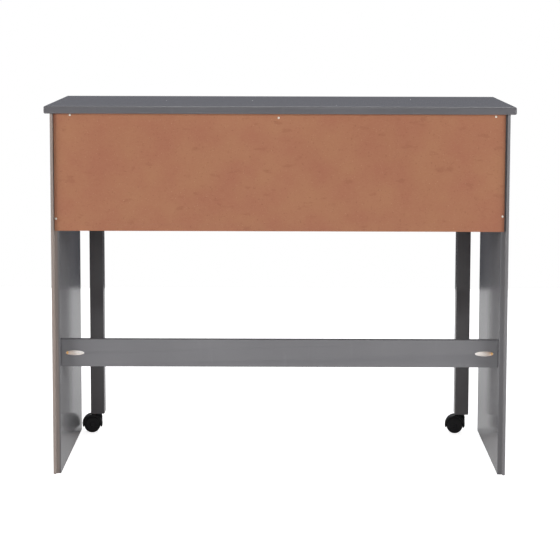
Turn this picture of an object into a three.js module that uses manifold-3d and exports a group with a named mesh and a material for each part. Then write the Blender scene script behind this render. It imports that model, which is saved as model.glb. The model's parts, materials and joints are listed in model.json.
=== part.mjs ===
// A writing desk in two halves that slide into each other. A fixed carcass of painted boards
// (top, two sides, nailed back, rear rails) is open at the front. A pull-out table on two
// castored front legs nests inside it and carries two drawers.
//
// Millimetres, +Z up, floor at Z = 0. The front, where the drawers are, faces -Y. Left and
// right are as a person sitting at the front sees them, so left is -X.

import * as THREE from 'three';
import { mergeVertices } from 'three/addons/utils/BufferGeometryUtils.js';
import Module from 'manifold-3d';

const wasm = await Module();
wasm.setup();

// ---- Driving dimensions -------------------------------------------------------------------

// Whole desk
const deskWidth = 1000;
const deskDepth = 450;
const deskHeight = 795;
const board = 16;               // thickness of every painted board
const fitGap = 0.3;             // room around a fastener or sleeve in its hole
const sides = { left: -1, right: 1 };

// Carcass
const topEdgeRadius = 3;
const topCornerRadius = 4;
const topSideOverhang = 12.5;
const topEndOverhang = 5;
const rabbetWidth = 10;         // step in the rear inner edge of each side, for the back panel
const rabbetDepth = 8;
const railHeight = 60;
const stretcherBottom = 231;
const stretcherRecess = 20;     // from the rabbet's floor to the stretcher's rear face

// Back panel and its nails
const backWidth = 958;
const backHeight = 250;
const backThickness = 3;
const backOffset = 1;           // the panel sits this far off centre in its rabbets
const nailHeadRadius = 2.3;
const nailHeadHeight = 0.9;
const nailShankRadius = 0.8;
const nailLength = 14;
const nailPlaces = [[445, 776], [3, 771], [-457, 774.5], [477, 555], [-474, 562]];   // x, z

// Pocket screws that hold the stretcher's ends
const pocketRadius = 5.25;
const pocketAngle = THREE.MathUtils.degToRad(15);
const pocketShoulder = 12;      // from the rail's end to the pocket's floor, along the screw
const pocketReach = 60;         // length of the cut, well past the rail's rear face
const screwRadius = 2;
const screwLength = 25;
const screwHeadRadius = 4.4;
const screwHeadHeight = 2.6;

// Pull-out table
const tableTravel = 300;
const tableTopGap = 3;          // from the table's top to the carcass top above it
const tableSideGap = 3;
const tableFrontInset = 3;      // table top's front edge behind the carcass top's
const tableRearGap = 1;         // from the table top's rear edge to the rear top rail
const legWidth = 32;
const legDepth = 40;
const legBottom = 46.5;
const legEdgeRadius = 2;
const legCentreX = 430;
const apronHeight = 115;
const rearApronY = 174;         // front face of the rear apron
const stopEarReach = 466;       // half width of the rear apron below the cleats
const stopEarGap = 4.5;         // between the ears and the cleats above them

// Cleats that carry the table top's edges, and the blocks that stop its travel
const cleatWidth = 20;
const cleatHeight = 20;
const cleatFrontY = -200;
const cleatRearY = 190;
const runningGap = 0.5;
const stopBlockLength = 20;
const stopBlockHeight = 40;

// Drawers
const drawerTravel = 250;
const drawerGap = 2;            // around a drawer front, and beside the drawer box
const drawerSideThickness = 12;
const drawerSideBottom = 655;
const drawerSideTop = 745;
const drawerRearY = 150;
const drawerBackTop = 756;
const drawerFrontInset = 2;     // drawer front behind the front face of the legs
const bottomThickness = 3;
const bottomHeight = 663;       // underside of the drawer's bottom panel
const bottomGroove = 6;
const runnerHeight = 12;
const runnerCentreZ = 700;
const runnerGroove = 6.5;
const runnerEngagement = 6;
const frontEdgeRadius = 1.5;

// Drawer knobs
const knobLength = 25;
const knobRadius = 15;
const knobScrewRadius = 2;
const knobScrewDepth = 12;

// Twin-wheel casters
const wheelRadius = 19;
const wheelWidth = 10;
const wheelGap = 0.5;
const webThickness = 6;
const hoodRadius = 24;          // at the middle of the hood's width, where it is crowned
const hoodRimRadius = 22.3;     // at the hood's side faces
const hoodOffset = 0.5;         // from the axle to the hood's centre, towards the stem
const hoodRise = 1.1;           // of the hood's centre above the axle
const hoodDrop = 4.8;           // of the hood's tips below the axle
const hoodWidth = 28;
const wheelWellRadius = 19.8;
const casterTrail = 14.5;
const restSwivel = { left: THREE.MathUtils.degToRad(-5), right: THREE.MathUtils.degToRad(5) };
const bossRadius = 8.5;
const bossTop = 43.5;
const axleRadius = 2.5;
const axleDepth = 8;            // of the axle in each wheel's hub
const stemRadius = 4;
const stemTop = 85;
const stemSeat = 8;             // depth of the stem's hole in the hood's boss
const collarRadius = 5.5;
const collarHeight = 1.2;
const socketRadius = 5.6;
const socketTop = 86.5;
const socketFlangeRadius = 9;
const socketFlangeHeight = 1.5;

// ---- Derived places -----------------------------------------------------------------------

const topRearY = deskDepth / 2;
const underTop = deskHeight - board;
const sideOuterX = deskWidth / 2 - topSideOverhang;
const sideInnerX = sideOuterX - board;
const sideRearY = topRearY - topEndOverhang;
const rabbetFloorY = sideRearY - rabbetDepth;
const backRearY = rabbetFloorY + backThickness;
const stretcherRearY = rabbetFloorY - stretcherRecess;

const tableTopZ = underTop - tableTopGap;
const tableUnderZ = tableTopZ - board;
const tableFrontY = -topRearY + tableFrontInset;
const tableRearY = rabbetFloorY - board - tableRearGap;
const legFrontY = -sideRearY;
const legRearY = legFrontY + legDepth;
const legCentreY = legFrontY + legDepth / 2;
const legInnerX = legCentreX - legWidth / 2;
const legOuterX = legCentreX + legWidth / 2;
const apronInnerX = legOuterX - board;
const apronBottomZ = tableUnderZ - apronHeight;
const cleatTopZ = tableUnderZ - runningGap;
const cleatBottomZ = cleatTopZ - cleatHeight;
const cleatInnerX = sideInnerX - cleatWidth;

const drawerCentreX = (legInnerX + board / 2) / 2;
const drawerHalfWidth = (legInnerX - board / 2) / 2 - drawerGap;
const drawerInnerX = drawerHalfWidth - drawerSideThickness;
const drawerFrontY = legFrontY + drawerFrontInset;
const drawerBoxY = drawerFrontY + board;    // where the drawer sides meet the front
const drawerBackY = drawerRearY - drawerSideThickness;
const drawerFrontCentreZ = (apronBottomZ + tableUnderZ) / 2;
const slotBottomZ = bottomHeight - fitGap;
const slotTopZ = bottomHeight + bottomThickness + fitGap;

const axleZ = wheelRadius;
const wheelInnerY = webThickness / 2 + wheelGap;

// The knobs stand out at the front, so the desk's middle in Y is not the top's middle.
const middleShift = -(topRearY + drawerFrontY - knobLength) / 2;

// ---- Finishes -----------------------------------------------------------------------------

const greyPaint = new THREE.MeshStandardMaterial({ color: 0x6b6b6f, roughness: 0.45, metalness: 0 });
const darkPaint = new THREE.MeshStandardMaterial({ color: 0x56555a, roughness: 0.45, metalness: 0 });
const hardboard = new THREE.MeshStandardMaterial({ color: 0xae785d, roughness: 0.85, metalness: 0 });
const paleWood = new THREE.MeshStandardMaterial({ color: 0xc9aa7c, roughness: 0.7, metalness: 0 });
const blackPlastic = new THREE.MeshStandardMaterial({ color: 0x151515, roughness: 0.5, metalness: 0 });
const brightSteel = new THREE.MeshStandardMaterial({ color: 0xb4b4b0, roughness: 0.3, metalness: 1 });
const yellowZinc = new THREE.MeshStandardMaterial({ color: 0xb98a4c, roughness: 0.35, metalness: 1 });

// ---- Geometry helpers ---------------------------------------------------------------------

/** Straight-edged block between two opposite corners, each [x, y, z]. */
function block(low, high) {
  const size = high.map((value, axis) => value - low[axis]);
  const centre = high.map((value, axis) => (value + low[axis]) / 2);
  return new THREE.BoxGeometry(...size).translate(...centre);
}

/** The same block mirrored to the left or right half of the desk: x values are distances. */
function sideBlock(side, [nearX, lowY, lowZ], [farX, highY, highZ]) {
  const [lowX, highX] = side > 0 ? [nearX, farX] : [-farX, -nearX];
  return block([lowX, lowY, lowZ], [highX, highY, highZ]);
}

/** Rectangle outline with rounded corners, centred on the origin. */
function roundedRectangle(width, height, radius, steps = 3) {
  const corners = [[1, 1], [-1, 1], [-1, -1], [1, -1]];
  const points = corners.flatMap(([signX, signY], quarter) => {
    const arc = Array.from({ length: steps + 1 }, (_, step) => (quarter + step / steps) * Math.PI / 2);
    return arc.map((angle) => new THREE.Vector2(
      signX * (width / 2 - radius) + radius * Math.cos(angle),
      signY * (height / 2 - radius) + radius * Math.sin(angle),
    ));
  });
  return new THREE.Shape(points);
}

/** Board lying flat with its edges rounded over, centred on the origin. */
function roundedBoard(width, depth, thickness, edgeRadius, cornerRadius) {
  const inset = 2 * edgeRadius;
  const outline = roundedRectangle(width - inset, depth - inset, cornerRadius - edgeRadius);
  const geometry = new THREE.ExtrudeGeometry(outline, {
    depth: thickness - inset,
    bevelThickness: edgeRadius,
    bevelSize: edgeRadius,
    bevelSegments: 3,
  });
  return geometry.translate(0, 0, edgeRadius - thickness / 2);
}

/** Solid turned about the vertical axis from [radius, z] points, listed from bottom to top. */
function turned(profile, segments = 24) {
  const points = profile.map(([radius, z]) => new THREE.Vector2(radius, z));
  return new THREE.LatheGeometry(points, segments).rotateX(Math.PI / 2);
}

/** Plain vertical cylinder of the given radius between two heights. */
function post(radius, bottom, top, segments = 24) {
  return turned([[0, bottom], [radius, bottom], [radius, top], [0, top]], segments);
}

/** Closed solid for cutting and joining: shared vertices merged, empty triangles dropped. */
function toSolid(geometry) {
  const bare = geometry.clone();
  bare.deleteAttribute('normal');
  bare.deleteAttribute('uv');
  const merged = mergeVertices(bare, 1e-4);
  const triangles = [];
  for (let i = 0; i < merged.index.count; i += 3) {
    const [a, b, c] = [0, 1, 2].map((offset) => merged.index.getX(i + offset));
    if (a !== b && b !== c && c !== a) triangles.push(a, b, c);
  }
  return new wasm.Manifold(new wasm.Mesh({
    numProp: 3,
    vertProperties: Float32Array.from(merged.attributes.position.array),
    triVerts: Uint32Array.from(triangles),
  }));
}

/** Geometry of a cut or joined solid. */
function toGeometry(solid) {
  const mesh = solid.getMesh();
  const geometry = new THREE.BufferGeometry();
  geometry.setAttribute('position', new THREE.BufferAttribute(mesh.vertProperties, 3));
  geometry.setIndex(new THREE.BufferAttribute(mesh.triVerts, 1));
  geometry.computeVertexNormals();
  return geometry;
}

/** A body with each of the tools cut out of it. */
function cut(body, ...tools) {
  const solid = tools.reduce((rest, tool) => rest.subtract(toSolid(tool)), toSolid(body));
  return toGeometry(solid);
}

/** Adds one named piece to a group. */
function addPiece(group, name, geometry, material) {
  const mesh = new THREE.Mesh(geometry, material);
  mesh.name = name;
  group.add(mesh);
  return mesh;
}

// ---- Carcass ------------------------------------------------------------------------------

/**
 * Places a shape on the slanted line of a pocket screw. The shape's +Z runs from the rail's
 * end, at mid thickness, inwards and out through the rail's rear face.
 */
function alongPocket(geometry, side) {
  const endY = stretcherRearY - board / 2;
  return geometry
    .rotateY(-side * Math.PI / 2)
    .rotateZ(-side * pocketAngle)
    .translate(side * sideInnerX, endY, stretcherBottom + railHeight / 2);
}

/** Hole for the screw's shank, from the pocket's floor into the side panel. */
function pocketPilot(side) {
  const deepest = pocketShoulder - screwLength - 1;
  return alongPocket(post(screwRadius + fitGap, deepest, pocketShoulder + 1), side);
}

/** Hole for a back panel nail. */
function nailHole([x, z]) {
  return post(nailShankRadius + fitGap, -nailLength - 1, 1, 12)
    .rotateX(-Math.PI / 2)
    .translate(x, backRearY, z);
}

function topPanel() {
  return roundedBoard(deskWidth, deskDepth, board, topEdgeRadius, topCornerRadius)
    .translate(0, 0, deskHeight - board / 2);
}

function sidePanel(side) {
  const panel = sideBlock(side, [sideInnerX, -sideRearY, 0], [sideOuterX, sideRearY, underTop]);
  const rabbet = sideBlock(
    side,
    [sideInnerX - 1, rabbetFloorY, -1],
    [sideInnerX + rabbetWidth, sideRearY + 1, underTop + 1],
  );
  return cut(panel, rabbet, pocketPilot(side), ...nailPlaces.map(nailHole));
}

function backPanel() {
  const panel = block(
    [backOffset - backWidth / 2, rabbetFloorY, underTop - backHeight],
    [backOffset + backWidth / 2, backRearY, underTop],
  );
  return cut(panel, ...nailPlaces.map(nailHole));
}

function rearTopRail() {
  const rail = block(
    [-sideInnerX, rabbetFloorY - board, underTop - railHeight],
    [sideInnerX, rabbetFloorY, underTop],
  );
  return cut(rail, ...nailPlaces.map(nailHole));
}

function rearStretcher() {
  const rail = block(
    [-sideInnerX, stretcherRearY - board, stretcherBottom],
    [sideInnerX, stretcherRearY, stretcherBottom + railHeight],
  );
  const pockets = Object.values(sides).flatMap((side) => [
    alongPocket(post(pocketRadius, pocketShoulder, pocketShoulder + pocketReach), side),
    pocketPilot(side),
  ]);
  return cut(rail, ...pockets);
}

/** Pan-head screw, its head against the pocket's floor. */
function stretcherScrew(side) {
  const seat = pocketShoulder + fitGap;
  const tip = seat - screwLength;
  return alongPocket(turned([
    [0, tip],
    [0.4, tip],
    [screwRadius, tip + 4],
    [screwRadius, seat],
    [screwHeadRadius, seat],
    [screwHeadRadius, seat + screwHeadHeight / 2],
    [screwHeadRadius * 0.7, seat + screwHeadHeight],
    [0, seat + screwHeadHeight],
  ], 16), side);
}

/** Flat-headed nail driven forwards through the back panel. */
function panelNail([x, z]) {
  return turned([
    [0, -nailLength],
    [0.2, -nailLength],
    [nailShankRadius, -nailLength + 2],
    [nailShankRadius, 0.1],
    [nailHeadRadius, 0.1],
    [nailHeadRadius * 0.9, nailHeadHeight],
    [0, nailHeadHeight],
  ], 12).rotateX(-Math.PI / 2).translate(x, backRearY, z);
}

/** Strip along the side panel that the table top's edge slides on. */
function slideCleat(side) {
  return sideBlock(side, [cleatInnerX, cleatFrontY, cleatBottomZ], [sideInnerX, cleatRearY, cleatTopZ]);
}

/** Block under the cleat that the rear apron's ear meets when the table is fully out. */
function stopBlock(side) {
  const rearY = rearApronY - tableTravel - runningGap;
  return sideBlock(
    side,
    [cleatInnerX, rearY - stopBlockLength, cleatBottomZ - stopBlockHeight],
    [sideInnerX, rearY, cleatBottomZ],
  );
}

function buildCarcass() {
  const carcass = new THREE.Group();
  addPiece(carcass, 'top_panel', topPanel(), greyPaint);
  addPiece(carcass, 'back_panel', backPanel(), hardboard);
  addPiece(carcass, 'rear_top_rail', rearTopRail(), greyPaint);
  addPiece(carcass, 'rear_stretcher', rearStretcher(), greyPaint);
  nailPlaces.forEach((place, index) => {
    addPiece(carcass, `back_panel_nail_${index + 1}`, panelNail(place), brightSteel);
  });
  for (const [name, side] of Object.entries(sides)) {
    addPiece(carcass, `side_panel_${name}`, sidePanel(side), greyPaint);
    addPiece(carcass, `stretcher_screw_${name}`, stretcherScrew(side), yellowZinc);
    addPiece(carcass, `slide_cleat_${name}`, slideCleat(side), paleWood);
    addPiece(carcass, `stop_block_${name}`, stopBlock(side), paleWood);
  }
  return carcass;
}

// ---- Pull-out table -----------------------------------------------------------------------

function tableTop() {
  const width = 2 * (sideInnerX - tableSideGap);
  const depth = tableRearY - tableFrontY;
  return roundedBoard(width, depth, board, frontEdgeRadius, frontEdgeRadius + 0.5)
    .translate(0, (tableFrontY + tableRearY) / 2, tableTopZ - board / 2);
}

/** Square leg with a bore in its foot for the caster's socket. */
function tableLeg(side) {
  const leg = new THREE.ExtrudeGeometry(roundedRectangle(legWidth, legDepth, legEdgeRadius), {
    depth: tableUnderZ - legBottom,
    bevelEnabled: false,
  });
  const bore = post(socketRadius + fitGap, legBottom - 1, socketTop + 1);
  return cut(leg.translate(0, 0, legBottom), bore).translate(side * legCentreX, legCentreY, 0);
}

function sideApron(side) {
  return sideBlock(side, [apronInnerX, legRearY, apronBottomZ], [legOuterX, rearApronY, tableUnderZ]);
}

/** Rear apron, wider at the bottom, where its ends reach under the cleats as stop ears. */
function rearApron() {
  const earTop = cleatBottomZ - stopEarGap;
  const outline = new THREE.Shape([
    [-stopEarReach, apronBottomZ], [stopEarReach, apronBottomZ],
    [stopEarReach, earTop], [legOuterX, earTop],
    [legOuterX, tableUnderZ], [-legOuterX, tableUnderZ],
    [-legOuterX, earTop], [-stopEarReach, earTop],
  ].map(([x, z]) => new THREE.Vector2(x, z)));
  return new THREE.ExtrudeGeometry(outline, { depth: board, bevelEnabled: false })
    .rotateX(Math.PI / 2)
    .translate(0, rearApronY + board, 0);
}

function centreDivider() {
  return block([-board / 2, drawerFrontY, apronBottomZ], [board / 2, rearApronY, tableUnderZ]);
}

/** Rail between the legs, below the drawers. */
function frontRail() {
  return block([-legInnerX, legFrontY, apronBottomZ - board], [legInnerX, legRearY, apronBottomZ]);
}

/** Hardwood runner that a drawer side's groove rides on, from the given face inwards. */
function runner(side, nearX, farX) {
  const halfHeight = runnerHeight / 2;
  return sideBlock(
    side,
    [nearX, legRearY, runnerCentreZ - halfHeight],
    [farX, rearApronY, runnerCentreZ + halfHeight],
  );
}

/** Strip under the table top that the drawer's tall back meets when the drawer is fully out. */
function drawerStop(side) {
  const rearY = drawerBackY - drawerTravel - runningGap;
  const depth = 18;
  const height = 12;
  const reach = drawerInnerX - 20;
  return sideBlock(
    side,
    [drawerCentreX - reach, rearY - depth, tableUnderZ - height],
    [drawerCentreX + reach, rearY, tableUnderZ],
  );
}

/** Flanged metal sleeve in the leg's foot, in which the caster's stem turns. */
function casterSocket(side) {
  const bore = stemRadius + fitGap;
  return turned([
    [bore, legBottom - socketFlangeHeight],
    [socketFlangeRadius, legBottom - socketFlangeHeight],
    [socketFlangeRadius, legBottom],
    [socketRadius, legBottom],
    [socketRadius, socketTop],
    [bore, socketTop],
    [bore, legBottom - socketFlangeHeight],
  ]).translate(side * legCentreX, legCentreY, 0);
}

function buildPulloutTable() {
  const table = new THREE.Group();
  addPiece(table, 'pullout_top', tableTop(), greyPaint);
  addPiece(table, 'rear_apron', rearApron(), darkPaint);
  addPiece(table, 'centre_divider', centreDivider(), darkPaint);
  addPiece(table, 'front_rail', frontRail(), darkPaint);
  const innerReach = drawerCentreX - drawerHalfWidth + runnerEngagement;
  const outerReach = drawerCentreX + drawerHalfWidth - runnerEngagement;
  for (const [name, side] of Object.entries(sides)) {
    addPiece(table, `table_leg_${name}`, tableLeg(side), darkPaint);
    addPiece(table, `side_apron_${name}`, sideApron(side), darkPaint);
    addPiece(table, `inner_runner_${name}`, runner(side, board / 2, innerReach), paleWood);
    addPiece(table, `outer_runner_${name}`, runner(side, outerReach, apronInnerX), paleWood);
    addPiece(table, `drawer_stop_${name}`, drawerStop(side), paleWood);
    addPiece(table, `caster_socket_${name}`, casterSocket(side), brightSteel);
  }
  return table;
}

// ---- Drawers, each drawn about its own centre line -----------------------------------------

/** Drawer front with a slot for the bottom and a hole for the knob's screw. */
function drawerFront() {
  const width = 2 * drawerHalfWidth;
  const height = apronHeight - 2 * drawerGap;
  const front = roundedBoard(width, height, board, frontEdgeRadius, frontEdgeRadius + 0.5)
    .rotateX(Math.PI / 2)
    .translate(0, drawerFrontY + board / 2, drawerFrontCentreZ);
  const slotReach = drawerInnerX + bottomGroove;
  const slot = block(
    [-slotReach, drawerBoxY - bottomGroove, slotBottomZ],
    [slotReach, drawerBoxY + 1, slotTopZ],
  );
  const screwHole = onKnobAxis(post(knobScrewRadius + fitGap, -board - 1, 1));
  return cut(front, slot, screwHole);
}

/** Drawer side, grooved outside for the runner and inside for the bottom. */
function drawerSide(side) {
  const plank = sideBlock(
    side,
    [drawerInnerX, drawerBoxY, drawerSideBottom],
    [drawerHalfWidth, drawerRearY, drawerSideTop],
  );
  const halfGroove = runnerHeight / 2 + runningGap;
  const runnerSlot = sideBlock(
    side,
    [drawerHalfWidth - runnerGroove, legRearY - drawerGap, runnerCentreZ - halfGroove],
    [drawerHalfWidth + 1, drawerRearY + 1, runnerCentreZ + halfGroove],
  );
  const bottomSlot = sideBlock(
    side,
    [drawerInnerX - 1, drawerBoxY - 1, slotBottomZ],
    [drawerInnerX + bottomGroove, drawerRearY + 1, slotTopZ],
  );
  return cut(plank, runnerSlot, bottomSlot);
}

function drawerBack() {
  return block(
    [-drawerInnerX, drawerBackY, slotTopZ],
    [drawerInnerX, drawerRearY, drawerBackTop],
  );
}

function drawerBottom() {
  const reach = drawerInnerX + bottomGroove - 2 * fitGap;
  return block(
    [-reach, drawerBoxY - bottomGroove + 2 * fitGap, bottomHeight],
    [reach, drawerRearY, bottomHeight + bottomThickness],
  );
}

/** Points a turned shape's +Z out of the drawer front's face, at the front's middle. */
function onKnobAxis(geometry) {
  return geometry.rotateX(Math.PI / 2).translate(0, drawerFrontY, drawerFrontCentreZ);
}

function drawerKnob() {
  const bore = knobScrewRadius + fitGap;
  const boreEnd = knobScrewDepth + 1;
  return onKnobAxis(turned([
    [0, boreEnd], [bore, boreEnd], [bore, 0],
    [8, 0], [8, 1.5], [6, 4], [5.5, 8], [7, 12], [12, 14.5], [14.5, 17],
    [knobRadius, 19.5], [14, 22], [11, 24], [6, 24.8], [0, knobLength],
  ]));
}

function knobScrew() {
  const seat = -board - fitGap;
  return onKnobAxis(turned([
    [0, seat - 2.6], [2.8, seat - 2.6], [4, seat - 1.3], [4, seat],
    [knobScrewRadius, seat],
    [knobScrewRadius, knobScrewDepth - 1],
    [1.2, knobScrewDepth],
    [0, knobScrewDepth],
  ], 16));
}

function buildDrawer(name, side) {
  const drawer = new THREE.Group();
  drawer.position.x = side * drawerCentreX;
  addPiece(drawer, `drawer_${name}_front`, drawerFront(), darkPaint);
  addPiece(drawer, `drawer_${name}_side_outer`, drawerSide(side), paleWood);
  addPiece(drawer, `drawer_${name}_side_inner`, drawerSide(-side), paleWood);
  addPiece(drawer, `drawer_${name}_back`, drawerBack(), paleWood);
  addPiece(drawer, `drawer_${name}_bottom`, drawerBottom(), hardboard);
  addPiece(drawer, `drawer_${name}_knob`, drawerKnob(), brightSteel);
  addPiece(drawer, `drawer_${name}_knob_screw`, knobScrew(), brightSteel);
  return drawer;
}

// ---- Casters, each drawn about its swivel axis and trailing towards +X, then swivelled ------

/** Lays a turned shape on the wheel axle, its +Z pointing to the given side along Y. */
function onAxle(geometry, direction = 1) {
  return geometry.rotateX(-direction * Math.PI / 2).translate(casterTrail, 0, axleZ);
}

/** Stem with a collar that carries the leg's socket. */
function casterStem() {
  return turned([
    [0, bossTop - stemSeat + fitGap], [stemRadius, bossTop - stemSeat + fitGap],
    [stemRadius, bossTop + fitGap], [collarRadius, bossTop + fitGap],
    [collarRadius, bossTop + collarHeight], [stemRadius, bossTop + collarHeight],
    [stemRadius, stemTop - 1], [stemRadius - 1, stemTop], [0, stemTop],
  ]);
}

/** Hood over the upper half of both wheels, with the web between them and the stem's boss. */
function casterHood() {
  const halfWidth = hoodWidth / 2;
  const steps = 8;
  const crown = Array.from({ length: steps + 1 }, (_, step) => {
    const angle = Math.PI * (step / steps - 0.5);
    const radius = hoodRimRadius + (hoodRadius - hoodRimRadius) * Math.cos(angle);
    return [radius, halfWidth * Math.sin(angle)];
  });
  const disc = onAxle(turned([[0, -halfWidth], ...crown, [0, halfWidth]], 32))
    .translate(-hoodOffset, 0, hoodRise);
  const reach = 2 * hoodRadius;
  const aboveTips = block([-reach, -reach, axleZ - hoodDrop], [2 * reach, reach, 2 * reach]);
  const boss = post(bossRadius, axleZ, bossTop);
  const axleLug = onAxle(post(axleRadius + 5.5, -webThickness / 2, webThickness / 2));
  let hood = toSolid(disc).intersect(toSolid(aboveTips)).add(toSolid(boss)).add(toSolid(axleLug));
  for (const direction of [1, -1]) {
    const well = onAxle(post(wheelWellRadius, webThickness / 2, halfWidth + 1, 32), direction);
    hood = hood.subtract(toSolid(well));
  }
  const axleHole = onAxle(post(axleRadius + fitGap, -halfWidth, halfWidth));
  const stemHole = post(stemRadius + fitGap, bossTop - stemSeat, bossTop + 1);
  return toGeometry(hood.subtract(toSolid(axleHole)).subtract(toSolid(stemHole)));
}

function casterAxle() {
  const reach = wheelInnerY + axleDepth;
  return onAxle(post(axleRadius, -reach, reach));
}

/** Wheel with a blind hub bore on its inner face and a shallow dish on its outer face. */
function casterWheel(direction) {
  const bore = axleRadius + fitGap;
  const boreEnd = axleDepth + 0.5;
  return onAxle(turned([
    [0, boreEnd], [bore, boreEnd], [bore, 0],
    [wheelRadius - 1.5, 0], [wheelRadius - 0.4, 0.5], [wheelRadius, 1.5],
    [wheelRadius, wheelWidth - 1.5], [wheelRadius - 0.4, wheelWidth - 0.5],
    [wheelRadius - 1.5, wheelWidth], [14, wheelWidth], [13, wheelWidth - 0.8],
    [6, wheelWidth - 0.8], [5, wheelWidth - 0.2], [0, wheelWidth - 0.2],
  ].map(([radius, z]) => [radius, z + wheelInnerY])), direction);
}

function buildCaster(name, side) {
  const caster = new THREE.Group();
  caster.position.set(side * legCentreX, legCentreY, 0);
  caster.rotation.z = restSwivel[name];
  addPiece(caster, `caster_${name}_stem`, casterStem(), brightSteel);
  addPiece(caster, `caster_${name}_hood`, casterHood(), blackPlastic);
  addPiece(caster, `caster_${name}_axle`, casterAxle(), brightSteel);
  addPiece(caster, `caster_${name}_wheel_rear`, casterWheel(1), blackPlastic);
  addPiece(caster, `caster_${name}_wheel_front`, casterWheel(-1), blackPlastic);
  return caster;
}

// ---- The desk -----------------------------------------------------------------------------

const desk = new THREE.Group();
desk.position.y = middleShift;
desk.add(buildCarcass(), buildPulloutTable());
for (const [name, side] of Object.entries(sides)) {
  desk.add(buildDrawer(name, side), buildCaster(name, side));
}

export default desk;
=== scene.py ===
"""Looks of the writing desk: softened boards, detailed hardware, materials, floor, light, camera.

Metres, +Z up, floor at Z = 0, drawers facing -Y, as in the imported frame. Places come from the
frame's boxes and joints, so the looks follow the CAD.
"""

import json
import math

import bmesh
import bpy
from mathutils import Matrix, Vector, kdtree


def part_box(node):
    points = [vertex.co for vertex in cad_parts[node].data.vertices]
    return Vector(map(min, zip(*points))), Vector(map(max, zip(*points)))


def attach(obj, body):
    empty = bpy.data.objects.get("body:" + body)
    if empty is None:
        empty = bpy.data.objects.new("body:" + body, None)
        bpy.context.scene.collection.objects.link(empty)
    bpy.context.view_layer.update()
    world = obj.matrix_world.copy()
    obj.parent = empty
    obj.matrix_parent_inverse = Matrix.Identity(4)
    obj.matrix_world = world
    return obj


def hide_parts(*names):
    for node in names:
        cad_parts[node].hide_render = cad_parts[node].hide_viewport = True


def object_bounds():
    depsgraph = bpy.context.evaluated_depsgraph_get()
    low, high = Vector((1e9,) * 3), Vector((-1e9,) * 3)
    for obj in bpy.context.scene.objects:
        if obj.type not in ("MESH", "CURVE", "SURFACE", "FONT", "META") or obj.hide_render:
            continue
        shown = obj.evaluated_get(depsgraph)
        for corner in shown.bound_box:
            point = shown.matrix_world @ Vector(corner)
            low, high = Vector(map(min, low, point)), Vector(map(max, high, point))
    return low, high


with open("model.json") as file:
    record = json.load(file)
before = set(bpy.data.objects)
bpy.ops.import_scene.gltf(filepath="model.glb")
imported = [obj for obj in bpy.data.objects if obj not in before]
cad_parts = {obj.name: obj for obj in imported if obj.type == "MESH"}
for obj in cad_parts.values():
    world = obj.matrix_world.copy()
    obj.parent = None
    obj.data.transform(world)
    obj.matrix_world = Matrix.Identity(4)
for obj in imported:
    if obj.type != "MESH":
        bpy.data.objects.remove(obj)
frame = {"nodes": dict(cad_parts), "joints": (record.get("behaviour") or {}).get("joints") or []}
cad_low, cad_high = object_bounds()

MM = 0.001
SIDES = {"left": -1, "right": 1}
SHARP_ANGLE = math.radians(35)
FLAT_ANGLE = math.radians(1)    # faces that meet at less than this are one flat face
SAME_PLACE = 0.01 * MM          # vertices nearer than this are one vertex
AXIS_Z = Vector((0, 0, 1))


# ---- Material helpers ----------------------------------------------------------------------

def new_material(name, **values):
    """Material with one Principled shader, whose named sockets get these constant values."""
    material = bpy.data.materials.new(name)
    material.use_nodes = True
    tree = material.node_tree
    shader = tree.nodes["Principled BSDF"]
    for socket, value in values.items():
        shader.inputs[socket.replace("_", " ")].default_value = value
    return material, tree, shader


def object_space(tree, stretch=(1, 1, 1)):
    """The piece's own coordinates in metres, stretched so that noise runs along one axis."""
    place = tree.nodes.new("ShaderNodeTexCoord")
    mapping = tree.nodes.new("ShaderNodeMapping")
    mapping.inputs["Scale"].default_value = stretch
    tree.links.new(place.outputs["Object"], mapping.inputs["Vector"])
    return mapping.outputs["Vector"]


def noise(tree, vector, scale, detail=2.0, distortion=0.0):
    """Noise from 0 to 1 with features about 1/scale metres across."""
    node = tree.nodes.new("ShaderNodeTexNoise")
    node.inputs["Scale"].default_value = scale
    node.inputs["Detail"].default_value = detail
    node.inputs["Distortion"].default_value = distortion
    tree.links.new(vector, node.inputs["Vector"])
    return node.outputs["Fac"]


def remap(tree, value, from_low, from_high, to_low=0.0, to_high=1.0):
    """A value's range moved to another range, clamped at both ends."""
    node = tree.nodes.new("ShaderNodeMapRange")
    tree.links.new(value, node.inputs["Value"])
    for socket, number in zip(("From Min", "From Max", "To Min", "To Max"),
                              (from_low, from_high, to_low, to_high)):
        node.inputs[socket].default_value = number
    return node.outputs["Result"]


def mix(tree, factor, first, second):
    """Mix of two colours by a factor from a socket. Each is a socket or a plain (r, g, b)."""
    node = tree.nodes.new("ShaderNodeMix")
    node.data_type = "RGBA"
    tree.links.new(factor, node.inputs["Factor"])
    for socket, colour in (("A", first), ("B", second)):
        target = next(i for i in node.inputs if i.name == socket and i.type == "RGBA")
        if isinstance(colour, tuple):
            target.default_value = (*colour, 1)
        else:
            tree.links.new(colour, target)
    return next(o for o in node.outputs if o.type == "RGBA")


def math_node(tree, operation, *values):
    """Result of one arithmetic step on these values."""
    node = tree.nodes.new("ShaderNodeMath")
    node.operation = operation
    for socket, value in zip(node.inputs, values):
        tree.links.new(value, socket)
    return node.outputs["Value"]


def bump(tree, shader, height, depth, strength):
    """Surface relief of this depth in metres on the shader."""
    node = tree.nodes.new("ShaderNodeBump")
    node.inputs["Strength"].default_value = strength
    node.inputs["Distance"].default_value = depth
    tree.links.new(height, node.inputs["Height"])
    tree.links.new(node.outputs["Normal"], shader.inputs["Normal"])


# ---- Materials -----------------------------------------------------------------------------

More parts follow.
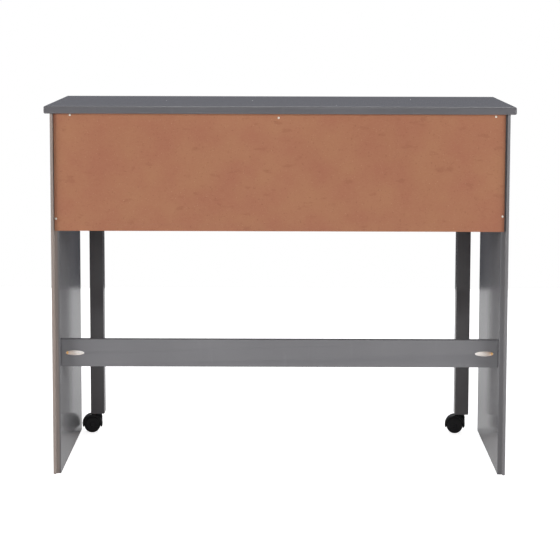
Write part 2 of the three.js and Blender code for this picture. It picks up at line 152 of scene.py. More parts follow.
def paint(name, light, dark):
    """Satin paint on board: cloudy colour, roller stipple and a thin glossy skin."""
    material, tree, shader = new_material(
        name, Coat_Weight=1.0, Coat_Roughness=0.14, Coat_IOR=1.45, Specular_IOR_Level=0.25)
    space = object_space(tree)
    clouds = remap(tree, noise(tree, space, 5, detail=4), 0.35, 0.65)
    stipple = noise(tree, space, 420, detail=3)
    scuffs = remap(tree, noise(tree, object_space(tree, (1, 1, 0.12)), 55, detail=6), 0.62, 0.74)
    colour = mix(tree, clouds, dark, light)
    worn = tuple(min(1, channel * 1.16) for channel in light)
    colour = mix(tree, remap(tree, scuffs, 0, 1, 0, 0.35), colour, worn)
    tree.links.new(colour, shader.inputs["Base Color"])
    tree.links.new(remap(tree, stipple, 0.3, 0.7, 0.42, 0.56), shader.inputs["Roughness"])
    bump(tree, shader, stipple, 0.06 * MM, 0.5)
    return material


def thin_paint_and_warm_reflection(name, light, dark, warm, amount, rabbet_y, arris_x):
    """Paint that lets warm board show through on the narrow faces at a side panel's rear; the warm
    tint there is also a painted warm reflection.
    """
    material = paint(name, light, dark)
    tree = material.node_tree
    shader = tree.nodes["Principled BSDF"]
    painted = shader.inputs["Base Color"].links[0].from_socket
    split = tree.nodes.new("ShaderNodeSeparateXYZ")
    tree.links.new(object_space(tree), split.inputs["Vector"])
    at_rear = remap(tree, split.outputs["Y"], rabbet_y - 1 * MM, rabbet_y - 0.2 * MM)
    distance = math_node(tree, "ABSOLUTE", split.outputs["X"])
    off_arris = remap(tree, distance, arris_x + 1 * MM, arris_x + 5 * MM)
    streaks = noise(tree, object_space(tree, (1, 1, 0.05)), 260, detail=4)
    share = math_node(tree, "MULTIPLY", at_rear, off_arris)
    share = math_node(tree, "MULTIPLY", share, remap(tree, streaks, 0.3, 0.7, 0.7, 1))
    # Warm tint on the rear narrow faces: board through thin paint, and painted warm reflection.
    share = remap(tree, share, 0, 1, 0, amount)
    tree.links.new(mix(tree, share, painted, warm), shader.inputs["Base Color"])
    return material


def pressed_board():
    """Bare brown hardboard: soft blotches, short scuffs, fibre specks and a slight tooth."""
    material, tree, shader = new_material("hardboard", Specular_IOR_Level=0.3)
    space = object_space(tree)
    blotches = remap(tree, noise(tree, space, 14, detail=5), 0.32, 0.68)
    drift = remap(tree, noise(tree, space, 2.5, detail=2), 0.35, 0.65)
    fibres = noise(tree, object_space(tree, (0.45, 1, 1)), 520, detail=4, distortion=0.6)
    scuffs = remap(tree, noise(tree, object_space(tree, (0.4, 1, 1)), 70, detail=7), 0.63, 0.69)
    specks = remap(tree, noise(tree, space, 260, detail=2), 0.64, 0.72)
    pale_specks = remap(tree, noise(tree, space, 420, detail=1), 0.69, 0.76)
    colour = mix(tree, blotches, (0.325, 0.128, 0.076), (0.352, 0.160, 0.086))
    colour = mix(tree, remap(tree, drift, 0, 1, 0, 0.4), colour, (0.302, 0.122, 0.066))
    colour = mix(tree, remap(tree, fibres, 0.3, 0.7, 0, 0.25), colour, (0.43, 0.22, 0.135))
    colour = mix(tree, remap(tree, scuffs, 0, 1, 0, 0.3), colour, (0.24, 0.092, 0.055))
    colour = mix(tree, remap(tree, specks, 0, 1, 0, 0.4), colour, (0.18, 0.075, 0.045))
    colour = mix(tree, remap(tree, pale_specks, 0, 1, 0, 0.5), colour, (0.58, 0.36, 0.22))
    tree.links.new(colour, shader.inputs["Base Color"])
    tree.links.new(remap(tree, fibres, 0.3, 0.7, 0.62, 0.82), shader.inputs["Roughness"])
    bump(tree, shader, fibres, 0.08 * MM, 0.6)
    return material


def bare_wood(name, grain_axis, pale, deep):
    """Unpainted wood with growth bands and pores drawn out along one axis."""
    material, tree, shader = new_material(name, Specular_IOR_Level=0.35)
    stretch = tuple(0.045 if axis == grain_axis else 1 for axis in "xyz")
    along = object_space(tree, stretch)
    bands = remap(tree, noise(tree, along, 95, detail=3, distortion=0.8), 0.35, 0.65)
    pore_stretch = tuple(0.027 if axis == grain_axis else 1 for axis in "xyz")
    pores = noise(tree, object_space(tree, pore_stretch), 900, detail=2)
    colour = mix(tree, bands, pale, deep)
    dark_pores = tuple(channel * 0.55 for channel in deep)
    colour = mix(tree, remap(tree, pores, 0.58, 0.72, 0, 0.5), colour, dark_pores)
    tree.links.new(colour, shader.inputs["Base Color"])
    tree.links.new(remap(tree, bands, 0, 1, 0.55, 0.68), shader.inputs["Roughness"])
    bump(tree, shader, pores, 0.06 * MM, 0.5)
    return material


def moulded_plastic():
    """Black moulded plastic with a fine matt grain."""
    material, tree, shader = new_material("black_plastic")
    space = object_space(tree)
    grain = noise(tree, space, 1600, detail=2)
    dust = remap(tree, noise(tree, space, 120, detail=5), 0.5, 0.75)
    tree.links.new(mix(tree, dust, (0.004, 0.004, 0.0045), (0.009, 0.009, 0.009)),
                   shader.inputs["Base Color"])
    tree.links.new(remap(tree, grain, 0.3, 0.7, 0.34, 0.46), shader.inputs["Roughness"])
    bump(tree, shader, grain, 0.02 * MM, 0.4)
    return material


def plated_steel(name, light, dark, roughness, metallic=1.0):
    """Plated steel with cloudy plating and fine wear marks. Dull plating is less metallic."""
    material, tree, shader = new_material(name, Metallic=metallic)
    space = object_space(tree)
    clouds = remap(tree, noise(tree, space, 260, detail=3), 0.35, 0.65)
    marks = noise(tree, object_space(tree, (1, 1, 0.08)), 2400, detail=2)
    tree.links.new(mix(tree, clouds, dark, light), shader.inputs["Base Color"])
    tree.links.new(remap(tree, marks, 0.3, 0.7, roughness - 0.06, roughness + 0.08),
                   shader.inputs["Roughness"])
    bump(tree, shader, marks, 0.01 * MM, 0.3)
    return material


GREY = {"light": (0.181, 0.179, 0.186), "dark": (0.163, 0.161, 0.168)}
# Darker grey for the tops: partly their own paint, partly painted shade.
SHADED_TOP_GREY = {"light": (0.125, 0.122, 0.130), "dark": (0.113, 0.110, 0.117)}
# Darker grey for the pull-out table's legs, aprons, rails and drawer fronts: partly their own paint,
# partly painted shade.
DARK_GREY_AND_SHADE = {"light": (0.109, 0.104, 0.107), "dark": (0.095, 0.090, 0.093)}
# Warm colour of the side panels' rear edges: board through thin paint, and painted warm reflection.
WARM_BOARD_AND_REFLECTION = (0.33, 0.262, 0.222)
PALE_PINE = (0.72, 0.54, 0.33)
DEEP_PINE = (0.56, 0.37, 0.19)


def make_materials():
    """Every material of the desk by name."""
    rabbet_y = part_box("back_panel")[0].y
    arris_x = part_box("rear_stretcher")[1].x
    made = {
        "grey_paint": paint("grey_paint", **GREY),
        "shaded_top_paint": paint("shaded_top_paint", **SHADED_TOP_GREY),
        "dark_grey_paint": paint("dark_grey_paint", **DARK_GREY_AND_SHADE),
        "hardboard": pressed_board(),
        "black_plastic": moulded_plastic(),
        "bright_steel": plated_steel("bright_steel", (0.70, 0.70, 0.68), (0.52, 0.52, 0.51), 0.3),
        "yellow_zinc": plated_steel("yellow_zinc", (0.90, 0.58, 0.25), (0.75, 0.42, 0.14), 0.36, 0.4),
        # Pale, half-matt nail plating: partly the nails' own light colour, partly a painted glint.
        "nail_steel_with_glint": plated_steel("nail_steel_with_glint", (0.92, 0.88, 0.80), (0.84, 0.79, 0.70), 0.5, 0.3),
        "wood_along_x": bare_wood("wood_along_x", "x", PALE_PINE, DEEP_PINE),
        "wood_along_y": bare_wood("wood_along_y", "y", PALE_PINE, DEEP_PINE),
        # Raw wood in the pockets, near white: light wood, made paler still with painted light.
        "lit_raw_pocket": bare_wood("lit_raw_pocket", "x", (0.96, 0.92, 0.89), (0.93, 0.84, 0.76)),
    }
    # The warm tint, thin paint and painted warm reflection, is strong on the right panel's rear edge
    # and faint on the left.
    for name, amount in (("left", 0.05), ("right", 0.8)):
        made[f"side_paint_{name}"] = thin_paint_and_warm_reflection(
            f"side_paint_{name}", warm=WARM_BOARD_AND_REFLECTION, amount=amount, rabbet_y=rabbet_y,
            arris_x=arris_x, **GREY)
    return made


# ---- CAD pieces: materials and softened edges ------------------------------------------------

def assign(piece, *materials):
    """Puts these materials in the piece's slots, in order."""
    piece.data.materials.clear()
    for material in materials:
        piece.data.materials.append(material)


def edge_faces(mesh):
    """Normals of the faces at each edge, where edges in the same place count as one."""
    def key(index):
        return tuple(round(c / SAME_PLACE) for c in mesh.vertices[index].co)
    found = {}
    for polygon in mesh.polygons:
        for first, second in polygon.edge_keys:
            found.setdefault(frozenset((key(first), key(second))), []).append(polygon.normal.copy())
    return {tuple(sorted(e.vertices)): found[frozenset(map(key, e.vertices))] for e in mesh.edges}


def long_edge_vertices(mesh, shortest):
    """Indices of vertices where every real edge of the shape is at least this long."""
    bm = bmesh.new()
    bm.from_mesh(mesh)
    bmesh.ops.remove_doubles(bm, verts=bm.verts, dist=SAME_PLACE)
    bmesh.ops.dissolve_limit(bm, angle_limit=FLAT_ANGLE, verts=bm.verts, edges=bm.edges)
    corners = [v.co.copy() for v in bm.verts
               if v.link_edges and min(e.calc_length() for e in v.link_edges) >= shortest]
    bm.free()
    tree = kdtree.KDTree(len(corners))
    for index, corner in enumerate(corners):
        tree.insert(corner, index)
    tree.balance()
    return [v.index for v in mesh.vertices if corners and tree.find(v.co)[2] < 2 * SAME_PLACE]


def shade(piece, softened=()):
    """Smooth shading, with hard edges where faces meet sharply outside the softened corners."""
    mesh = piece.data
    if "custom_normal" in mesh.attributes:
        mesh.attributes.remove(mesh.attributes["custom_normal"])
    mesh.shade_smooth()
    softened = set(softened)
    normals = edge_faces(mesh)
    for edge in mesh.edges:
        faces = normals[tuple(sorted(edge.vertices))]
        meets_sharply = len(faces) > 1 and faces[0].angle(faces[1], 0) > SHARP_ANGLE
        edge.use_edge_sharp = meets_sharply and not softened.issuperset(edge.vertices)


def join_faces(node, softened=()):
    """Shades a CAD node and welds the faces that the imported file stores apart."""
    piece = frame["nodes"][node]
    shade(piece, softened)
    weld = piece.modifiers.new("weld", "WELD")
    weld.merge_threshold = SAME_PLACE
    return piece


def smooth(node):
    """Shades a CAD node that is round already, or has rounded edges, keeping its flat faces flat."""
    piece = join_faces(node)
    normals = piece.modifiers.new("flat_faces", "WEIGHTED_NORMAL")
    normals.keep_sharp = True


def soften(node, width, shortest=5 * MM):
    """Rounds a board's long edges with modifiers, which leave the CAD mesh alone."""
    corners = long_edge_vertices(frame["nodes"][node].data, shortest)
    piece = join_faces(node, corners)
    group = piece.vertex_groups.new(name="long_edges")
    group.add(corners, 1.0, "REPLACE")
    flatten = piece.modifiers.new("flatten", "DECIMATE")
    flatten.decimate_type = "DISSOLVE"
    flatten.angle_limit = FLAT_ANGLE
    bevel = piece.modifiers.new("round_edges", "BEVEL")
    bevel.width = width
    bevel.segments = 3
    bevel.limit_method = "VGROUP"
    bevel.vertex_group = group.name
    bevel.use_clamp_overlap = False
    bevel.harden_normals = True


def bare_the_pockets(node):
    """Gives the faces inside the stretcher's slanted pockets the near-white raw wood in material slot
    1, whose paleness is partly painted light.
    """
    mesh = frame["nodes"][node].data
    small = 60 * MM * MM    # smaller than any of the board's own flat faces
    for polygon in mesh.polygons:
        slanted = min(abs(c) for c in polygon.normal) > 1e-3
        end_wall = abs(polygon.normal.x) > 0.5 and abs(polygon.normal.y) > 0.1
        along_axis = abs(polygon.normal.z) > 0.99 and polygon.area < small
        if slanted or end_wall or along_axis:
            polygon.material_index = 1


def dress_cad_pieces(materials):
    """Gives every CAD node that stays its material and soft edges."""
    board_edge = 0.9 * MM
    for node in ("top_panel", "pullout_top"):
        # The tops' darker grey carries painted shade.
        assign(frame["nodes"][node], materials["shaded_top_paint"])
        smooth(node)
    assign(frame["nodes"]["rear_top_rail"], materials["grey_paint"])
    soften("rear_top_rail", board_edge)
    assign(frame["nodes"]["rear_stretcher"], materials["grey_paint"], materials["lit_raw_pocket"])
    soften("rear_stretcher", 1.6 * MM)
    bare_the_pockets("rear_stretcher")
    for name in SIDES:
        assign(frame["nodes"][f"side_panel_{name}"], materials[f"side_paint_{name}"])
        soften(f"side_panel_{name}", board_edge)
    assign(frame["nodes"]["back_panel"], materials["hardboard"])
    soften("back_panel", 0.25 * MM, 2 * MM)
    for node in ("rear_apron", "centre_divider", "front_rail"):
        assign(frame["nodes"][node], materials["dark_grey_paint"])
        soften(node, board_edge)
    for name in SIDES:
        dress_side_of_table(name, materials, board_edge)
        dress_drawer(name, materials)


def dress_side_of_table(name, materials, board_edge):
    """The legs, runners, cleats and socket on one side."""
    assign(frame["nodes"][f"side_apron_{name}"], materials["dark_grey_paint"])
    soften(f"side_apron_{name}", board_edge)
    for node in (f"table_leg_{name}", f"caster_socket_{name}", f"caster_{name}_axle"):
        smooth(node)
    # The legs' dark grey carries painted shade.
    assign(frame["nodes"][f"table_leg_{name}"], materials["dark_grey_paint"])
    assign(frame["nodes"][f"caster_socket_{name}"], materials["bright_steel"])
    assign(frame["nodes"][f"caster_{name}_axle"], materials["bright_steel"])
    for node in ("slide_cleat", "stop_block", "inner_runner", "outer_runner"):
        assign(frame["nodes"][f"{node}_{name}"], materials["wood_along_y"])
        soften(f"{node}_{name}", 0.6 * MM)
    assign(frame["nodes"][f"drawer_stop_{name}"], materials["wood_along_x"])
    soften(f"drawer_stop_{name}", 0.6 * MM)


def dress_drawer(name, materials):
    """The boards of one drawer."""
    boards = {
        "front": "dark_grey_paint", "side_outer": "wood_along_y", "side_inner": "wood_along_y",
        "back": "wood_along_x", "bottom": "hardboard",
    }
    for board, material in boards.items():
        assign(frame["nodes"][f"drawer_{name}_{board}"], materials[material])
    smooth(f"drawer_{name}_front")
    for board in ("side_outer", "side_inner", "back"):
        soften(f"drawer_{name}_{board}", 0.6 * MM, 2 * MM)
    soften(f"drawer_{name}_bottom", 0.2 * MM, 2 * MM)


# ---- Mesh helpers for the detailed hardware --------------------------------------------------

def turned(profile, segments):
    """Closed bmesh turned about +Z from (radius, height) points in mm, from axis to axis."""
    bm = bmesh.new()
    rings = []
    for radius, height in profile:
        if radius == 0:
            rings.append([bm.verts.new((0, 0, height * MM))])
            continue
        ring = []
        for step in range(segments):
            angle = 2 * math.pi * step / segments
            across = Vector((math.cos(angle), math.sin(angle), 0)) * radius * MM
            ring.append(bm.verts.new(across + AXIS_Z * height * MM))
        rings.append(ring)
    for lower, upper in zip(rings, rings[1:]):
        for step in range(segments):
            after = (step + 1) % segments
            corners = [lower[step % len(lower)], lower[after % len(lower)],
                       upper[after % len(upper)], upper[step % len(upper)]]
            bm.faces.new(dict.fromkeys(corners))
    bmesh.ops.recalc_face_normals(bm, faces=bm.faces)
    return bm


def rod(radius, low, high, segments):
    """Bmesh cylinder along Z between two heights, in mm."""
    return turned([(0, low), (radius, low), (radius, high), (0, high)], segments)


def box_mesh(low, high):
    """Bmesh block between two corners in mm."""
    bm = bmesh.new()
    bmesh.ops.create_cube(bm, size=1)
    size = Vector(high) - Vector(low)
    middle = (Vector(high) + Vector(low)) / 2
    bm.transform(Matrix.Translation(middle * MM) @ Matrix.Diagonal((*(size * MM), 1)))
    return bm


def arc(centre, start, stop, radius, steps):
    """Points of an arc in a profile, between two angles in degrees."""
    angles = [math.radians(start + (stop - start) * step / steps) for step in range(steps + 1)]
    return [(centre[0] + radius * math.cos(angle), centre[1] + radius * math.sin(angle))
            for angle in angles]


def to_mesh(bm, name):
    """Mesh data block made from a bmesh, which is freed."""
    mesh = bpy.data.meshes.new(name)
    bm.to_mesh(mesh)
    bm.free()
    return mesh


def combined(body, *steps):
    """Result of joining to or cutting from body. Each step is ("UNION" or "DIFFERENCE", bmesh)."""
    scene = bpy.context.scene.collection
    base = bpy.data.objects.new("base", to_mesh(body, "base"))
    scene.objects.link(base)
    tools = []
    for operation, bm in steps:
        tool = bpy.data.objects.new("tool", to_mesh(bm, "tool"))
        scene.objects.link(tool)
        tools.append(tool)
        modifier = base.modifiers.new("combine", "BOOLEAN")
        modifier.operation = operation
        modifier.solver = "EXACT"
        modifier.object = tool
    depsgraph = bpy.context.evaluated_depsgraph_get()
    result = bmesh.new()
    result.from_mesh(base.evaluated_get(depsgraph).data)
    for thing in (base, *tools):
        mesh = thing.data
        bpy.data.objects.remove(thing)
        bpy.data.meshes.remove(mesh)
    bmesh.ops.remove_doubles(result, verts=result.verts, dist=0.002 * MM)
    return result


def make_piece(name, bm, material, body, nodes=()):
    """Adds a finished piece that rides on a body and stands for these CAD nodes."""
    piece = bpy.data.objects.new(name, to_mesh(bm, name))
    bpy.context.scene.collection.objects.link(piece)
    assign(piece, material)
    shade(piece)
    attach(piece, body)
    if nodes:
        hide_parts(*nodes)


def joint_point(name):
    """Where a joint of the record sits at rest."""
    joint = next(j for j in frame["joints"] if j["name"] == name)
    return Vector(joint["pos_m"])


def turn_to(direction):
    """Rotation that points +Z in this direction."""
    return AXIS_Z.rotation_difference(Vector(direction)).to_matrix().to_4x4()


def placed(bm, location, direction=AXIS_Z):
    """The bmesh with its +Z pointing in this direction and its origin at this point."""
    bm.transform(Matrix.Translation(location) @ turn_to(direction))
    return bm


# ---- Screws, nails and knobs -----------------------------------------------------------------

NAIL_COUNT = 5


def cross_recess(reach, width, top, depth):
    """Two crossed blocks that cut a driver recess into a screw head."""
    return [box_mesh((-reach, -width / 2, top - depth), (reach, width / 2, top + 1)),
            box_mesh((-width / 2, -reach, top - depth), (width / 2, reach, top + 1))]


def pan_head_screw(head_radius, head_height, shank_radius, length):
    """Screw with a rounded head on Z = 0 upwards, a cross recess and a pointed shank below."""
    rim = 0.25
    profile = [(0, -length), (0.35, -length + 0.3), (shank_radius * 0.85, -length + 4),
               (shank_radius, -2), (shank_radius, 0), (head_radius - 0.2, 0), (head_radius, rim)]
    for angle in (20, 40, 60, 75):
        turn = math.radians(angle)
        height = rim + (head_height - rim) * math.sin(turn)
        profile.append((head_radius * math.cos(turn) ** 0.7, height))
    profile.append((0, head_height))
    body = turned(profile, 40)
    cutters = cross_recess(head_radius * 0.62, head_radius * 0.22, head_height, head_height * 0.55)
    return combined(body, *[("DIFFERENCE", cutter) for cutter in cutters])


def make_stretcher_screw(name, side, materials):
    """Pocket screw seated on the pocket's floor, on the slanted line that the CAD drills."""
    pocket_angle = math.radians(15)
    floor_from_end = 12.3 * MM
    low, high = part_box("rear_stretcher")
    end = Vector((high.x if side > 0 else low.x, (low.y + high.y) / 2, (low.z + high.z) / 2))
    inwards = Vector((-side * math.cos(pocket_angle), math.sin(pocket_angle), 0))
    seat = end + inwards * floor_from_end
    screw = pan_head_screw(head_radius=4.4, head_height=2.6, shank_radius=2, length=25)
    screw = placed(screw, seat, inwards)
    make_piece(f"stretcher_pocket_screw_{name}", screw, materials["yellow_zinc"], "carcass",
               [f"stretcher_screw_{name}"])


def make_panel_nail(number, materials):
    """Domed nail head on the back panel, with its shank in the board behind."""
    node = f"back_panel_nail_{number}"
    low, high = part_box(node)
    head_radius = (high.z - low.z) / 2 / MM
    length = (high.y - low.y) / MM
    centre = Vector(((low.x + high.x) / 2, high.y, (low.z + high.z) / 2))
    nail = turned([
        (0, -length), (0.25, -length + 0.4), (0.8, -length + 2), (0.8, -0.8),
        (head_radius * 0.86, -0.8), (head_radius, -0.62), (head_radius, -0.42),
        (head_radius * 0.85, -0.18), (head_radius * 0.5, -0.04), (0, 0),
    ], 32)
    make_piece(f"panel_nail_{number}", placed(nail, centre, (0, 1, 0)), materials["nail_steel_with_glint"],
               "carcass", [node])


def make_knob(name, materials):
    """Turned knob with a base ring, waist and soft rim, and the screw that holds it."""
    node = f"drawer_{name}_knob"
    low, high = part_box(node)
    seat = Vector(((low.x + high.x) / 2, high.y, (low.z + high.z) / 2))
    profile = [(0, 13), (2.3, 13), (2.3, 0), (8.4, 0), (9, 0.3), (9.2, 0.9), (9, 1.6), (8.2, 2.1),
               (7, 2.8), (6.1, 4.2), (5.7, 6), (5.7, 8), (6.1, 10), (7.2, 12), (9.2, 13.8),
               (11.6, 15), (13.4, 16), (14.5, 17.3), (14.95, 18.6), (15, 19.6), (14.7, 20.8),
               (13.9, 22), (12.6, 23), (11, 23.7), (8.5, 24.4), (5, 24.8), (0, 25)]
    knob = placed(turned(profile, 72), seat, (0, -1, 0))
    make_piece(f"{node}_turned", knob, materials["bright_steel"], f"drawer_{name}",
               [node])
    head_low, head_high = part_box(f"{node}_screw")
    head_height = 2.6
    head_seat = Vector((seat.x, head_high.y - head_height * MM, seat.z))
    length = (head_seat.y - head_low.y) / MM
    screw = pan_head_screw(4, head_height, shank_radius=2, length=length)
    screw = placed(screw, head_seat, (0, 1, 0))
    make_piece(f"{node}_fixing_screw", screw, materials["bright_steel"], f"drawer_{name}",
               [f"{node}_screw"])


# ---- Casters -----------------------------------------------------------------------------------

WHEEL_RADIUS = 19
WHEEL_WELL_RADIUS = 19.8
WEB_HALF = 3                # half of the web between the wheels
WHEEL_INNER = 3.5           # from the web's middle to a wheel's inner face
HOOD_HALF = 14              # half of the hood's width
HOOD_RADIUS = 24            # at the middle of its width, where it is crowned
HOOD_RIM_RADIUS = 22.3      # at its side faces
HOOD_OFFSET = 0.5           # the hood's centre is this far from the axle, towards the stem
HOOD_RISE = 1.1             # and this far above it
HOOD_DROP = 4.8             # the hood's tips are this far below the axle
BOSS_TOP = 24.5             # above the axle


def caster_hood_mesh(trail):
    """Hood drawn about the axle, which runs along Z: crowned shell, web, boss, wells and holes."""
    flat_edge = HOOD_RIM_RADIUS - 0.5
    profile = [(0, -HOOD_HALF), (flat_edge, -HOOD_HALF)]
    for degrees in range(-84, 85, 12):
        turn = math.radians(degrees)
        radius = HOOD_RIM_RADIUS + (HOOD_RADIUS - HOOD_RIM_RADIUS) * math.cos(turn)
        profile.append((radius, HOOD_HALF * math.sin(turn)))
    profile += [(flat_edge, HOOD_HALF), (0, HOOD_HALF)]
    shell = turned(profile, 96)
    bmesh.ops.translate(shell, verts=shell.verts, vec=(-HOOD_OFFSET * MM, HOOD_RISE * MM, 0))
    beyond = 60
    below = box_mesh((-beyond, -beyond, -beyond), (beyond, -HOOD_DROP, beyond))
    boss = turned([(0, 0), (9.6, 0), (9.6, 18), (9.0, 20.5), (8.5, 23), (8.5, BOSS_TOP - 0.8),
                   (7.7, BOSS_TOP), (0, BOSS_TOP)], 64)
    stem_place = Vector((-trail * MM, 0, 0))
    boss = placed(boss, stem_place, (0, 1, 0))
    lug = rod(8, -WEB_HALF, WEB_HALF, 64)
    past_side = HOOD_HALF + 6
    wells = [rod(WHEEL_WELL_RADIUS, WEB_HALF, past_side, 96),
             rod(WHEEL_WELL_RADIUS, -past_side, -WEB_HALF, 96)]
    axle_hole = rod(2.8, -past_side, past_side, 32)
    stem_hole = placed(rod(4.3, BOSS_TOP - 8, BOSS_TOP + 1, 48), stem_place, (0, 1, 0))
    return combined(
        shell,
        ("DIFFERENCE", below), ("UNION", boss), ("UNION", lug),
        *[("DIFFERENCE", well) for well in wells],
        ("DIFFERENCE", axle_hole), ("DIFFERENCE", stem_hole))


def wheel_mesh():
    """Wheel from its inner face at Z = 0 to its outer face: tread, bead groove, dish and hub cap."""
    edge = 1.5
    width = 10
    profile = [(0, 8.5), (2.8, 8.5), (2.8, 0), (WHEEL_RADIUS - edge, 0)]
    profile += arc((WHEEL_RADIUS - edge, edge), -70, 0, edge, 4)
    profile += arc((WHEEL_RADIUS - edge, width - edge), 0, 80, edge, 5)
    profile += [(16.4, width), (16.1, 9.7), (15.9, 9.2), (15.6, 9.2), (15.4, 9.6), (14.8, 9.75),
                (12.5, 9.55), (9, 9.3), (6.6, 9.2), (6.3, 9.05), (6.0, 9.3), (5.4, 9.7),
                (3.5, 9.95), (0, width)]
    return turned(profile, 96)


def make_caster(name, materials):
    """The detailed parts of one caster."""
    pivot = joint_point(f"caster_{name}_swivel")
    axle = joint_point(f"wheel_{name}_rear_spin")
    trail = axle.xy - pivot.xy
    swivel = Matrix.Rotation(math.atan2(trail.y, trail.x), 4, "Z")
    lay_flat = Matrix.Rotation(math.radians(90), 4, "X")    # the mesh's +Z to -Y, its +Y to +Z
    hood = caster_hood_mesh(trail.length / MM)
    hood.transform(Matrix.Translation(axle) @ swivel @ lay_flat)
    make_piece(f"caster_{name}_hood_moulded", hood, materials["black_plastic"], f"caster_{name}",
               [f"caster_{name}_hood"])
    for place, direction in (("rear", 1), ("front", -1)):
        node = f"caster_{name}_wheel_{place}"
        outwards = swivel @ Vector((0, direction, 0))
        wheel = placed(wheel_mesh(), axle + outwards * WHEEL_INNER * MM, outwards)
        make_piece(f"{node}_moulded", wheel, materials["black_plastic"], f"wheel_{name}_{place}",
                   [node])
    low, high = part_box(f"caster_{name}_stem")
    length = (high.z - low.z) / MM
    stem = turned([
        (0, 0), (3.6, 0), (4, 0.4), (4, 8), (5.2, 8), (5.5, 8.3), (5.5, 8.8), (5.2, 9.1), (4, 9.1),
        (4, length - 9), (3.4, length - 8.6), (3.4, length - 7.4), (4, length - 7),
        (4, length - 1.2), (3, length), (0, length),
    ], 48)
    make_piece(f"caster_{name}_stem_turned", placed(stem, Vector((pivot.x, pivot.y, low.z))),
               materials["bright_steel"], f"caster_{name}", [f"caster_{name}_stem"])


# ---- Small fixings that only the looks have ----------------------------------------------------

def countersunk_heads(places, direction):
    """Flush screw heads with cross recesses at these points, joined in one bmesh."""
    joined = bmesh.new()
    for place in places:
        head = turned([(0, -1.6), (1.6, -1.6), (3.3, 0.0), (3.3, 0.12), (3.0, 0.2), (0, 0.2)], 28)
        cutters = cross_recess(1.9, 0.7, 0.2, 0.9)
        head = combined(head, *[("DIFFERENCE", cutter) for cutter in cutters])
        mesh = to_mesh(placed(head, place, direction), "head")
        joined.from_mesh(mesh)
        bpy.data.meshes.remove(mesh)
    return joined


def make_cleat_screws(name, side, materials):
    """Screws along the inner faces of one cleat and its stop block."""
    low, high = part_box(f"slide_cleat_{name}")
    face_x = low.x if side > 0 else high.x
    middle_z = (low.z + high.z) / 2
    places = [Vector((face_x, low.y + share * (high.y - low.y), middle_z))
              for share in (0.07, 0.36, 0.64, 0.93)]
    block_low, block_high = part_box(f"stop_block_{name}")
    middle_y = (block_low.y + block_high.y) / 2
    places += [Vector((face_x, middle_y, block_low.z + share * (block_high.z - block_low.z)))
               for share in (0.25, 0.75)]
    heads = countersunk_heads(places, (-side, 0, 0))
    make_piece(f"cleat_screws_{name}", heads, materials["bright_steel"], "carcass")


# ---- Stage: floor, light, camera ---------------------------------------------------------------

def make_floor():
    """Plain pale floor that ends in front of and behind the desk, like a studio's paper sweep.

    What the camera sees of it directly is lifted to near white. The light and the reflections
    that it gives the desk are those of a plain lit floor.
    """
    material, tree, shader = new_material("floor", Roughness=0.9, Specular_IOR_Level=0.1,
                                          Emission_Color=(1, 1, 1, 1))
    shade_of_white = remap(tree, noise(tree, object_space(tree), 0.7), 0.3, 0.7, 0.80, 0.82)
    tree.links.new(shade_of_white, shader.inputs["Base Color"])
    rays = tree.nodes.new("ShaderNodeLightPath")
    lift = remap(tree, rays.outputs["Is Camera Ray"], 0, 1, 0, 0.85)
    tree.links.new(lift, shader.inputs["Emission Strength"])
    half_width, front_y, rear_y = 6, -2.48, 3.2
    corners = ((-half_width, front_y), (half_width, front_y),
               (half_width, rear_y), (-half_width, rear_y))
    bm = bmesh.new()
    bm.faces.new([bm.verts.new((x, y, 0)) for x, y in corners])
    floor = bpy.data.objects.new("floor", to_mesh(bm, "floor"))
    bpy.context.scene.collection.objects.link(floor)
    assign(floor, material)


def make_world():
    """White behind the object, and a dim grey room, brightest just above the horizon, around it."""
    world = bpy.data.worlds.new("studio")
    world.use_nodes = True
    tree = world.node_tree
    room = tree.nodes["Background"]
    room.inputs["Color"].default_value = (0.89, 0.91, 1.05, 1)
    direction = tree.nodes.new("ShaderNodeTexCoord")
    split = tree.nodes.new("ShaderNodeSeparateXYZ")
    tree.links.new(direction.outputs["Generated"], split.inputs["Vector"])
    rise_at_horizon = remap(tree, split.outputs["Z"], -0.03, 0, 0.07, 0.185)
    fall_above_it = remap(tree, split.outputs["Z"], 0.09, 0.14, 1, 0.4)
    strength = math_node(tree, "MULTIPLY", rise_at_horizon, fall_above_it)
    tree.links.new(strength, room.inputs["Strength"])
    backdrop = tree.nodes.new("ShaderNodeBackground")
    backdrop.inputs["Color"].default_value = (1, 1, 1, 1)
    rays = tree.nodes.new("ShaderNodeLightPath")
    either = tree.nodes.new("ShaderNodeMixShader")
    tree.links.new(rays.outputs["Is Camera Ray"], either.inputs["Fac"])
    tree.links.new(room.outputs["Background"], either.inputs[1])
    tree.links.new(backdrop.outputs["Background"], either.inputs[2])
    tree.links.new(either.outputs["Shader"], tree.nodes["World Output"].inputs["Surface"])
    bpy.context.scene.world = world


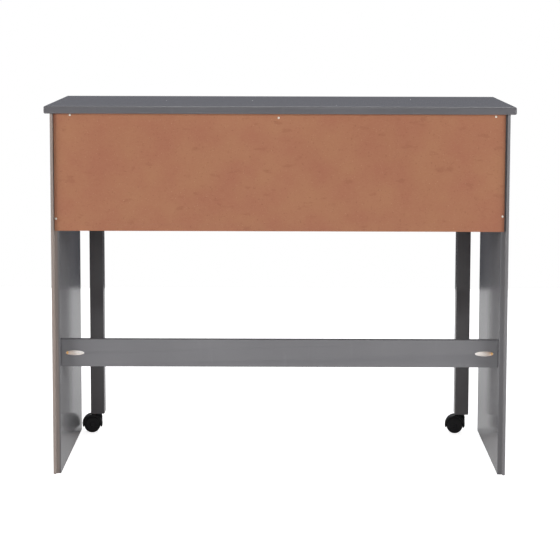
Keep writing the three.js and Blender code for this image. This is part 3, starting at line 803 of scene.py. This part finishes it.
def make_softbox(name, place, size, power, mirrored=True):
    """Rectangular soft light aimed at the middle of the desk, with or without its reflections."""
    data = bpy.data.lights.new(name, "AREA")
    data.shape = "RECTANGLE"
    data.size, data.size_y = size
    data.energy = power
    light = bpy.data.objects.new(name, data)
    light.visible_glossy = mirrored
    bpy.context.scene.collection.objects.link(light)
    light.location = place
    away = Vector(place) - (cad_low + cad_high) / 2
    light.rotation_euler = away.to_track_quat("Z", "Y").to_euler()


def make_lights():
    """Three softboxes behind the desk, two of them low and far out, and two in front of it."""
    for name, side in SIDES.items():
        make_softbox(f"rear_softbox_{name}", (side * 4.5, 2.2, 1.1), (2.4, 1.6), 225, mirrored=False)
    make_softbox("rear_softbox_middle", (0, 3.4, 2.1), (1.4, 0.8), 15)
    make_softbox("front_softbox_high", (0, -2.8, 3.4), (5, 1.4), 76)
    make_softbox("front_softbox_low", (0, -6, 0.9), (1.2, 1.2), 38, mirrored=False)


def make_camera():
    """Camera behind the desk, a little above it."""
    data = bpy.data.cameras.new("camera")
    data.sensor_width = 36
    data.lens = 124
    data.shift_y = -0.1
    camera = bpy.data.objects.new("camera", data)
    bpy.context.scene.collection.objects.link(camera)
    place = (-0.006, 4.305, 1.017)
    pitch, yaw, roll = math.radians(6.6), math.radians(0.08), math.radians(0.15)
    turn = Matrix.Rotation(math.pi + yaw, 4, "Z") @ Matrix.Rotation(math.pi / 2 - pitch, 4, "X")
    turn = turn @ Matrix.Rotation(roll, 4, "Z")
    camera.matrix_world = Matrix.Translation(place) @ turn
    bpy.context.scene.camera = camera
    bpy.context.scene.view_settings.view_transform = "Standard"


# ---- The whole scene -----------------------------------------------------------------------------

def build():
    """Everything in order."""
    materials = make_materials()
    dress_cad_pieces(materials)
    for name, side in SIDES.items():
        make_stretcher_screw(name, side, materials)
        make_knob(name, materials)
        make_caster(name, materials)
        make_cleat_screws(name, side, materials)
    for number in range(1, NAIL_COUNT + 1):
        make_panel_nail(number, materials)
    make_floor()
    make_world()
    make_lights()
    make_camera()


build()
